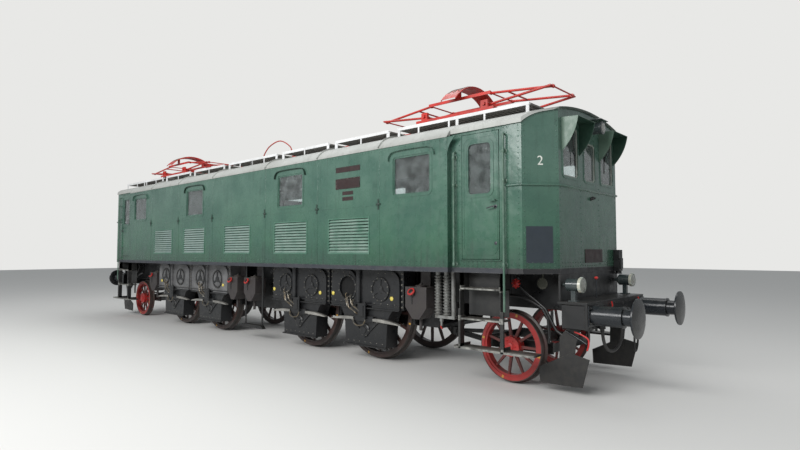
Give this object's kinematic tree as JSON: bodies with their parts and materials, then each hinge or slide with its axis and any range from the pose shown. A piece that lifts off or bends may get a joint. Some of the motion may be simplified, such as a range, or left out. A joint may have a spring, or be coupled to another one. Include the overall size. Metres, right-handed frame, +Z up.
{
  "type": "electric locomotive",
  "caption": "Old main-line electric locomotive with driven wheels, a pony truck and a cab at each end, roof pantographs and gear cases along one side.",
  "frame": {"origin": "middle of the locomotive in plan, at the height of the wheel flanges' tips", "axes": "+X along the locomotive towards end 2, +Y across it away from the gear side, +Z up; the rail top is 28 mm above the origin"},
  "size_m": [16.3, 2.99, 4.738],
  "materials": {
    "green_paint": "glossy, weathered",
    "roof_grey": "matt, weathered",
    "running_gear_black": "satin, greasy",
    "sill_grey": "satin",
    "wheel_red": "satin",
    "bright_red": "satin",
    "case_grey": "satin",
    "pipe_silver": "worn",
    "walkway": "matt",
    "copper_iron": "plain",
    "clear_glass": "clear",
    "lamp_glass": "clear",
    "cab_fittings": "satin"
  },
  "bodies": {
    "locomotive": {"air_reservoirs": "running_gear_black", "axle_boxes": "running_gear_black", "body_side_left": "green_paint", "body_side_right": "green_paint", "brake_gear": "running_gear_black", "buffer_beams": "running_gear_black", "buffers": "running_gear_black", "cab_controls": "cab_fittings", "cab_shell_1": "green_paint", "cab_shell_2": "green_paint", "cab_steps": "running_gear_black", "cooling_pipes": "pipe_silver", "drawhooks": "running_gear_black", "frame_plates": "running_gear_black", "frame_stretchers": "running_gear_black", "front_platforms": "running_gear_black", "gear_cases": "case_grey", "grilles": "green_paint", "handrails": "pipe_silver", "headlamps": "running_gear_black", "lamp_lenses": "lamp_glass", "pantograph_bases": "bright_red", "platform": "sill_grey", "rail_guards": "running_gear_black", "roof": "roof_grey", "roof_power_line": "bright_red", "roof_walkways": "walkway", "sandboxes": "case_grey", "sunshades": "green_paint", "traction_motors": "copper_iron", "transformer": "copper_iron", "window_glass": "clear_glass"},
    "drive_wheels_1": {"drive_wheelset_1": "wheel_red"},
    "drive_wheels_2": {"drive_wheelset_2": "wheel_red"},
    "drive_wheels_3": {"drive_wheelset_3": "wheel_red"},
    "drive_wheels_4": {"drive_wheelset_4": "wheel_red"},
    "lead_truck_1": {"lead_truck_1": "running_gear_black"},
    "lead_wheels_1": {"lead_wheelset_1": "wheel_red"},
    "cab_door_1_right": {"cab_door_1_right": "green_paint"},
    "cab_door_1_left": {"cab_door_1_left": "green_paint"},
    "pantograph_1_lower_a": {"pantograph_1_lower_a": "bright_red"},
    "pantograph_1_lower_b": {"pantograph_1_lower_b": "bright_red"},
    "pantograph_1_upper_a": {"pantograph_1_upper_a": "bright_red"},
    "pantograph_1_upper_b": {"pantograph_1_upper_b": "bright_red"},
    "pantograph_1_head": {"pantograph_1_head": "bright_red"},
    "lead_truck_2": {"lead_truck_2": "running_gear_black"},
    "lead_wheels_2": {"lead_wheelset_2": "wheel_red"},
    "cab_door_2_right": {"cab_door_2_right": "green_paint"},
    "cab_door_2_left": {"cab_door_2_left": "green_paint"},
    "pantograph_2_lower_a": {"pantograph_2_lower_a": "bright_red"},
    "pantograph_2_lower_b": {"pantograph_2_lower_b": "bright_red"},
    "pantograph_2_upper_a": {"pantograph_2_upper_a": "bright_red"},
    "pantograph_2_upper_b": {"pantograph_2_upper_b": "bright_red"},
    "pantograph_2_head": {"pantograph_2_head": "bright_red"}
  },
  "joints": [
    {"name": "drive_wheels_1_turn", "type": "hinge", "parent": "locomotive", "child": "drive_wheels_1", "pos_m": [-3.6, 0, 0.848], "axis": [0, 1, 0], "continuous": true},
    {"name": "drive_wheels_2_turn", "type": "hinge", "parent": "locomotive", "child": "drive_wheels_2", "pos_m": [-1.75, 0, 0.848], "axis": [0, 1, 0], "continuous": true},
    {"name": "drive_wheels_3_turn", "type": "hinge", "parent": "locomotive", "child": "drive_wheels_3", "pos_m": [1.75, 0, 0.848], "axis": [0, 1, 0], "continuous": true},
    {"name": "drive_wheels_4_turn", "type": "hinge", "parent": "locomotive", "child": "drive_wheels_4", "pos_m": [3.6, 0, 0.848], "axis": [0, 1, 0], "continuous": true},
    {"name": "lead_truck_1_swing", "type": "hinge", "parent": "locomotive", "child": "lead_truck_1", "pos_m": [-4.75, 0, 0.53], "axis": [0, 0, 1], "range_deg": [-3, 3]},
    {"name": "lead_wheels_1_turn", "type": "hinge", "parent": "lead_truck_1", "child": "lead_wheels_1", "pos_m": [-6.3, 0, 0.528], "axis": [0, 1, 0], "continuous": true},
    {"name": "cab_door_1_right_open", "type": "hinge", "parent": "locomotive", "child": "cab_door_1_right", "pos_m": [-5.865, -1.32, 2.65], "axis": [0, 0, -1], "range_deg": [0, 85]},
    {"name": "cab_door_1_left_open", "type": "hinge", "parent": "locomotive", "child": "cab_door_1_left", "pos_m": [-5.865, 1.32, 2.65], "axis": [0, 0, 1], "range_deg": [0, 85]},
    {"name": "pantograph_1_raise", "type": "hinge", "parent": "locomotive", "child": "pantograph_1_lower_a", "pos_m": [-5.7, 0, 4.258], "axis": [0, 1, 0], "range_deg": [0, 42]},
    {"name": "pantograph_1_lower_b_swing", "type": "hinge", "parent": "locomotive", "child": "pantograph_1_lower_b", "pos_m": [-4.46, 0, 4.258], "axis": [0, 1, 0], "range_deg": [-42, 0]},
    {"name": "pantograph_1_knee_a", "type": "hinge", "parent": "pantograph_1_lower_a", "child": "pantograph_1_upper_a", "pos_m": [-6.78442, 0, 4.36815], "axis": [0, 1, 0], "range_deg": [-84, 0]},
    {"name": "pantograph_1_knee_b", "type": "hinge", "parent": "pantograph_1_lower_b", "child": "pantograph_1_upper_b", "pos_m": [-3.37558, 0, 4.36815], "axis": [0, 1, 0], "range_deg": [0, 84]},
    {"name": "pantograph_1_head_level", "type": "hinge", "parent": "pantograph_1_upper_a", "child": "pantograph_1_head", "pos_m": [-5.7, 0, 4.4783], "axis": [0, 1, 0], "range_deg": [0, 42]},
    {"name": "lead_truck_2_swing", "type": "hinge", "parent": "locomotive", "child": "lead_truck_2", "pos_m": [4.75, 0, 0.53], "axis": [0, 0, 1], "range_deg": [-3, 3]},
    {"name": "lead_wheels_2_turn", "type": "hinge", "parent": "lead_truck_2", "child": "lead_wheels_2", "pos_m": [6.3, 0, 0.528], "axis": [0, 1, 0], "continuous": true},
    {"name": "cab_door_2_right_open", "type": "hinge", "parent": "locomotive", "child": "cab_door_2_right", "pos_m": [5.865, -1.32, 2.65], "axis": [0, 0, 1], "range_deg": [0, 85]},
    {"name": "cab_door_2_left_open", "type": "hinge", "parent": "locomotive", "child": "cab_door_2_left", "pos_m": [5.865, 1.32, 2.65], "axis": [0, 0, -1], "range_deg": [0, 85]},
    {"name": "pantograph_2_raise", "type": "hinge", "parent": "locomotive", "child": "pantograph_2_lower_a", "pos_m": [4.46, 0, 4.258], "axis": [0, 1, 0], "range_deg": [0, 42]},
    {"name": "pantograph_2_lower_b_swing", "type": "hinge", "parent": "locomotive", "child": "pantograph_2_lower_b", "pos_m": [5.7, 0, 4.258], "axis": [0, 1, 0], "range_deg": [-42, 0]},
    {"name": "pantograph_2_knee_a", "type": "hinge", "parent": "pantograph_2_lower_a", "child": "pantograph_2_upper_a", "pos_m": [3.37558, 0, 4.36815], "axis": [0, 1, 0], "range_deg": [-84, 0]},
    {"name": "pantograph_2_knee_b", "type": "hinge", "parent": "pantograph_2_lower_b", "child": "pantograph_2_upper_b", "pos_m": [6.78442, 0, 4.36815], "axis": [0, 1, 0], "range_deg": [0, 84]},
    {"name": "pantograph_2_head_level", "type": "hinge", "parent": "pantograph_2_upper_a", "child": "pantograph_2_head", "pos_m": [4.46, 0, 4.4783], "axis": [0, 1, 0], "range_deg": [0, 42]}
  ],
  "couplings": [
    {"joint": "pantograph_1_lower_b_swing", "follows": "pantograph_1_raise", "ratio": -1},
    {"joint": "pantograph_1_knee_a", "follows": "pantograph_1_raise", "ratio": -2},
    {"joint": "pantograph_1_knee_b", "follows": "pantograph_1_raise", "ratio": 2},
    {"joint": "pantograph_1_head_level", "follows": "pantograph_1_raise", "ratio": 1},
    {"joint": "pantograph_2_lower_b_swing", "follows": "pantograph_2_raise", "ratio": -1},
    {"joint": "pantograph_2_knee_a", "follows": "pantograph_2_raise", "ratio": -2},
    {"joint": "pantograph_2_knee_b", "follows": "pantograph_2_raise", "ratio": 2},
    {"joint": "pantograph_2_head_level", "follows": "pantograph_2_raise", "ratio": 1}
  ]
}
